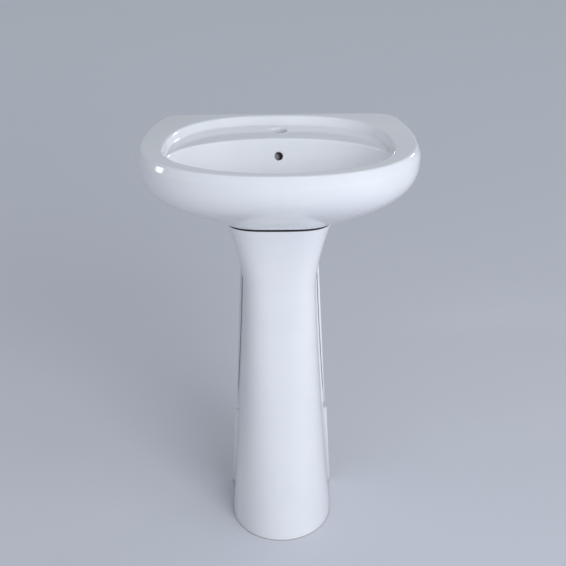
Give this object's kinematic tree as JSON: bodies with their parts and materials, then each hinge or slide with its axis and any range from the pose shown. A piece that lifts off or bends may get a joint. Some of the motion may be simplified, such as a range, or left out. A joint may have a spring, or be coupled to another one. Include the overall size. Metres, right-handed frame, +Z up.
{
  "type": "pedestal sink",
  "caption": "White glazed pedestal sink: D-shaped wall-fixed basin with a sunk tap ledge and overflow, on a hollow waisted column, with a press waste and a bottle trap.",
  "frame": {"origin": "centre of the overall box at floor level, under the pedestal", "axes": "+Z up, +X to the right seen from the front, +Y towards the wall; the wall plane is at Y = 0.175 m"},
  "size_m": [0.56, 0.46, 0.85],
  "materials": {
    "china": "white gloss glaze",
    "chrome": "polished chrome plate",
    "brass": "plain machined brass",
    "rubber": "matt black rubber",
    "nylon": "natural nylon",
    "zinc_steel": "zinc plated steel"
  },
  "bodies": {
    "sink": {"basin": "china", "pedestal": "china", "waste_body": "chrome", "trap_coupling_nut": "chrome", "trap_inlet_pipe": "chrome", "trap_slip_nut": "chrome", "trap_body": "chrome", "outlet_slip_nut": "chrome", "outlet_pipe": "chrome", "wall_flange": "chrome", "waste_backnut": "brass", "stopper_cartridge": "brass", "pedestal_pads": "rubber", "waste_flange_gasket": "rubber", "waste_lower_gasket": "rubber", "trap_coupling_washer": "rubber", "trap_slip_washer": "rubber", "outlet_slip_washer": "rubber", "waste_thrust_washer": "nylon", "stud_sleeves": "nylon", "floor_bushes": "nylon", "wall_studs": "zinc_steel", "stud_washers": "zinc_steel", "stud_nuts": "zinc_steel", "stopper_spring": "zinc_steel"},
    "stopper": {"stopper_cap": "chrome", "stopper_seal": "rubber", "stopper_stem": "brass"},
    "cup_seal": {"trap_cup_seal": "rubber"},
    "cup": {"trap_cup": "chrome"}
  },
  "joints": [
    {"name": "stopper_press", "type": "slide", "parent": "sink", "child": "stopper", "axis": [0, 0, 1], "range_m": [-0.008, 0], "stiffness_N_per_m": 400, "springref_m": 0.006, "deforming": ["stopper_spring"]},
    {"name": "cup_drop", "type": "slide", "parent": "sink", "child": "cup_seal", "axis": [0, 0, 1], "range_m": [-0.0181, 0]},
    {"name": "cup_turn", "type": "hinge", "parent": "cup_seal", "child": "cup", "pos_m": [0, -0.01, 0.476], "axis": [0, 0, 1], "range_deg": [-1620, 0]}
  ],
  "couplings": [
    {"joint": "cup_drop", "follows": "cup_turn", "m_per_rad": 0.00063662}
  ]
}
